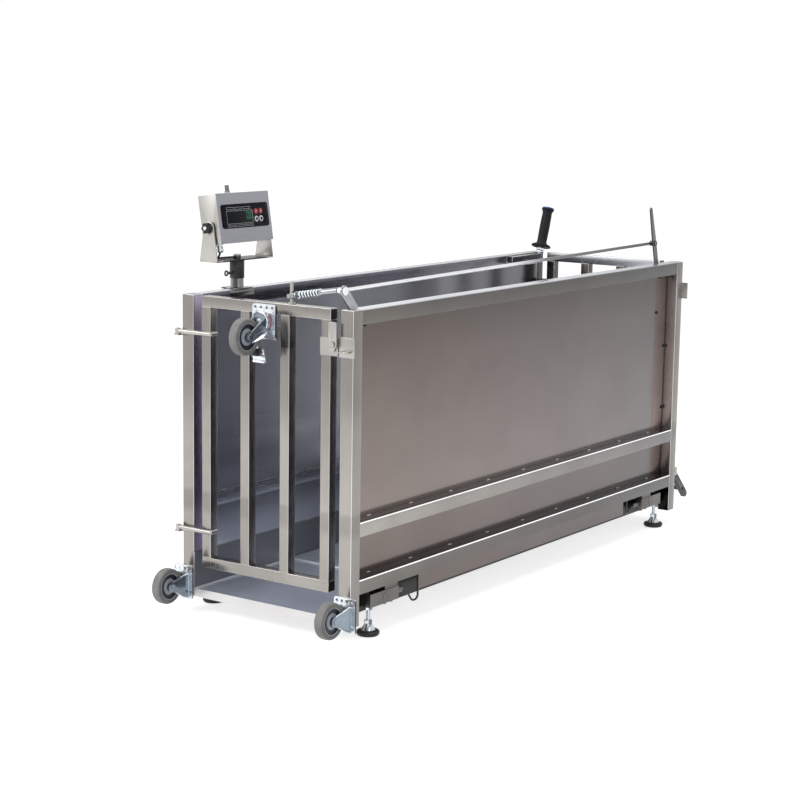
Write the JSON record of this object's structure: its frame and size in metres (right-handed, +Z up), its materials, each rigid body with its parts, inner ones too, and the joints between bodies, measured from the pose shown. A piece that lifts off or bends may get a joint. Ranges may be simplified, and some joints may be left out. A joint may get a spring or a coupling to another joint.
{
  "type": "livestock weighing crate",
  "caption": "Stainless livestock weighing crate with swinging end gates, load-cell feet, tip-up wheels, rod-worked gate strut and tilting weight indicator on a mast.",
  "frame": {"origin": "middle of the bounding box on the ground under the feet", "axes": "+Z up, +Y along the crate from the front gate to the rear gate, +X to the side with the rod"},
  "size_m": [0.644, 2.1324, 1.1915],
  "materials": {
    "frame_steel": "brushed stainless tube",
    "sheet_steel": "bright stainless sheet",
    "fitting_steel": "plain stainless",
    "cell_metal": "machined, satin",
    "zinc": "blue-white zinc",
    "link_steel": "plain stainless bar",
    "tyre": "grey rubber tyre",
    "hub": "grey hub",
    "case_steel": "brushed stainless sheet",
    "panel_black": "black foil panel",
    "sleeve_dark": "dark matte",
    "cable_black": "black cable sheath",
    "board_green": "circuit board and battery",
    "knob_black": "moulded black",
    "key_red": "red key",
    "key_white": "white key",
    "foot_steel": "plated steel on a black rubber pad",
    "grip_rubber": "ribbed black grip",
    "bail_grey": "dark grey paint"
  },
  "bodies": {
    "crate": {"posts": "frame_steel", "side_rails": "frame_steel", "side_sheets": "sheet_steel", "floor_tray": "sheet_steel", "floor_plate": "sheet_steel", "cross_members": "sheet_steel", "hinge_pins": "fitting_steel", "keepers": "fitting_steel", "load_cells": "cell_metal", "cell_spacers": "cell_metal", "cell_bolts": "cell_metal", "cell_glands": "cell_metal", "cell_cables": "cable_black", "fixed_forks": "zinc", "mast_base": "sheet_steel", "guide_tube": "sheet_steel", "bail_clevises": "fitting_steel", "rail_pivots": "fitting_steel", "junction_box": "sleeve_dark"},
    "front_gate": {"front_frame": "frame_steel", "front_fittings": "fitting_steel", "sw_plate": "zinc"},
    "front_latch": {"front_tongue": "fitting_steel"},
    "rear_gate": {"rear_frame": "frame_steel", "rear_fittings": "fitting_steel"},
    "rear_latch": {"rear_tongue": "fitting_steel"},
    "wheel_right": {"tyre_right": "tyre", "hub_right": "hub"},
    "wheel_left": {"tyre_left": "tyre", "hub_left": "hub"},
    "swivel": {"sw_fork": "zinc"},
    "swivel_wheel": {"sw_tyre": "tyre", "sw_hub": "hub"},
    "brake": {"sw_brake": "zinc"},
    "hand_lever": {"lever": "link_steel"},
    "pull_rod": {"rod": "link_steel"},
    "front_link": {"link": "link_steel"},
    "ball": {"strut_ball": "link_steel"},
    "spring_strut": {"strut": "link_steel", "strut_spring": "link_steel"},
    "mast": {"mast_sleeve": "sleeve_dark", "bracket": "case_steel", "lead": "cable_black"},
    "clamp_screw": {"eye_screw": "zinc"},
    "indicator": {"case": "case_steel", "panel": "panel_black", "board": "board_green"},
    "front_knob": {"knob_front": "knob_black"},
    "rear_knob": {"knob_rear": "knob_black"},
    "key_a": {"button_a": "key_red"},
    "key_b": {"button_b": "key_red"},
    "key_c": {"button_c": "key_white"},
    "key_d": {"button_d": "key_white"},
    "leg_fr": {"foot_fr": "foot_steel"},
    "leg_fl": {"foot_fl": "foot_steel"},
    "leg_rr": {"foot_rr": "foot_steel"},
    "leg_rl": {"foot_rl": "foot_steel"},
    "handle": {"pull_handle": "link_steel", "grip": "grip_rubber"},
    "bail": {"lift_bail": "bail_grey"}
  },
  "joints": [
    {"name": "front_gate_swing", "type": "hinge", "parent": "crate", "child": "front_gate", "pos_m": [-0.297, -0.93643, 0.508], "axis": [0, 0, -1], "range_deg": [0, 105]},
    {"name": "rear_gate_swing", "type": "hinge", "parent": "crate", "child": "rear_gate", "pos_m": [-0.297, 0.95097, 0.508], "axis": [0, 0, 1], "range_deg": [0, 105]},
    {"name": "front_latch_turn", "type": "hinge", "parent": "front_gate", "child": "front_latch", "pos_m": [0.2425, -0.93773, 0.805], "axis": [0, 1, 0], "range_deg": [0, 90]},
    {"name": "rear_latch_turn", "type": "hinge", "parent": "rear_gate", "child": "rear_latch", "pos_m": [0.2425, 0.95227, 0.805], "axis": [0, 1, 0], "range_deg": [0, 90]},
    {"name": "wheel_right_spin", "type": "hinge", "parent": "crate", "child": "wheel_right", "pos_m": [0.286, -0.99973, 0.0795], "axis": [1, 0, 0], "continuous": true},
    {"name": "wheel_left_spin", "type": "hinge", "parent": "crate", "child": "wheel_left", "pos_m": [-0.286, -0.99973, 0.0795], "axis": [1, 0, 0], "continuous": true},
    {"name": "swivel_turn", "type": "hinge", "parent": "front_gate", "child": "swivel", "pos_m": [0.007, -0.94573, 0.846], "axis": [0, 1, 0], "continuous": true},
    {"name": "swivel_wheel_spin", "type": "hinge", "parent": "swivel", "child": "swivel_wheel", "pos_m": [0.007, -1.01573, 0.813], "axis": [1, 0, 0], "continuous": true},
    {"name": "brake_pedal", "type": "hinge", "parent": "swivel", "child": "brake", "pos_m": [0.007, -0.95873, 0.834], "axis": [1, 0, 0], "range_deg": [-5, 10]},
    {"name": "lever_swing", "type": "hinge", "parent": "crate", "child": "hand_lever", "pos_m": [0.259, 0.83527, 0.878], "axis": [1, 0, 0], "range_deg": [-18, 10]},
    {"name": "rod_follow", "type": "hinge", "parent": "hand_lever", "child": "pull_rod", "pos_m": [0.257, 0.81122, 0.96473], "axis": [1, 0, 0], "range_deg": [-11, 19]},
    {"name": "link_follow", "type": "hinge", "parent": "crate", "child": "front_link", "pos_m": [0.259, -0.85373, 0.878], "axis": [1, 0, 0], "range_deg": [-23, 13]},
    {"name": "strut_yaw", "type": "hinge", "parent": "front_gate", "child": "ball", "pos_m": [0.087, -0.91473, 0.92], "axis": [0, 0, 1], "range_deg": [-7, 12]},
    {"name": "strut_pitch", "type": "hinge", "parent": "ball", "child": "spring_strut", "pos_m": [0.087, -0.91473, 0.92], "axis": [-0.0105, 0.9999, 0], "range_deg": [-9, 6]},
    {"name": "mast_turn", "type": "hinge", "parent": "crate", "child": "mast", "pos_m": [-0.268, -0.71673, 0.948], "axis": [0, 0, 1], "range_deg": [-90, 90]},
    {"name": "clamp_screw_turn", "type": "hinge", "parent": "mast", "child": "clamp_screw", "pos_m": [-0.268, -0.74773, 0.944], "axis": [0, 1, 0], "continuous": true},
    {"name": "indicator_tilt", "type": "hinge", "parent": "mast", "child": "indicator", "pos_m": [-0.268, -0.71673, 1.076], "axis": [0, 1, 0], "range_deg": [-20, 20]},
    {"name": "front_knob_turn", "type": "hinge", "parent": "indicator", "child": "front_knob", "pos_m": [-0.268, -0.84673, 1.076], "axis": [0, 1, 0], "continuous": true},
    {"name": "rear_knob_turn", "type": "hinge", "parent": "indicator", "child": "rear_knob", "pos_m": [-0.268, -0.58673, 1.076], "axis": [0, 1, 0], "continuous": true},
    {"name": "key_a_press", "type": "slide", "parent": "indicator", "child": "key_a", "axis": [0.9877, 0, 0.1564], "range_m": [-0.001, 0], "stiffness_N_per_m": 400},
    {"name": "key_b_press", "type": "slide", "parent": "indicator", "child": "key_b", "axis": [0.9877, 0, 0.1564], "range_m": [-0.001, 0], "stiffness_N_per_m": 400},
    {"name": "key_c_press", "type": "slide", "parent": "indicator", "child": "key_c", "axis": [0.9877, 0, 0.1564], "range_m": [-0.001, 0], "stiffness_N_per_m": 400},
    {"name": "key_d_press", "type": "slide", "parent": "indicator", "child": "key_d", "axis": [0.9877, 0, 0.1564], "range_m": [-0.001, 0], "stiffness_N_per_m": 400},
    {"name": "leg_fr_turn", "type": "hinge", "parent": "crate", "child": "leg_fr", "pos_m": [0.282, -0.81873, 0.068], "axis": [0, 0, 1], "continuous": true},
    {"name": "leg_fl_turn", "type": "hinge", "parent": "crate", "child": "leg_fl", "pos_m": [-0.268, -0.81873, 0.068], "axis": [0, 0, 1], "continuous": true},
    {"name": "leg_rr_turn", "type": "hinge", "parent": "crate", "child": "leg_rr", "pos_m": [0.282, 0.83327, 0.068], "axis": [0, 0, 1], "continuous": true},
    {"name": "leg_rl_turn", "type": "hinge", "parent": "crate", "child": "leg_rl", "pos_m": [-0.268, 0.83327, 0.068], "axis": [0, 0, 1], "continuous": true},
    {"name": "handle_pull", "type": "slide", "parent": "crate", "child": "handle", "axis": [0, 1, 0], "range_m": [0, 0.15]},
    {"name": "bail_swing", "type": "hinge", "parent": "crate", "child": "bail", "pos_m": [0.282, 0.95827, 0.172], "axis": [1, 0, 0], "range_deg": [-40, 18]}
  ],
  "couplings": [
    {"joint": "link_follow", "follows": "lever_swing", "ratio": 1.215},
    {"joint": "rod_follow", "follows": "lever_swing", "ratio": -0.973},
    {"joint": "strut_yaw", "follows": "lever_swing", "ratio": -0.58},
    {"joint": "strut_pitch", "follows": "lever_swing", "ratio": 0.425}
  ]
}
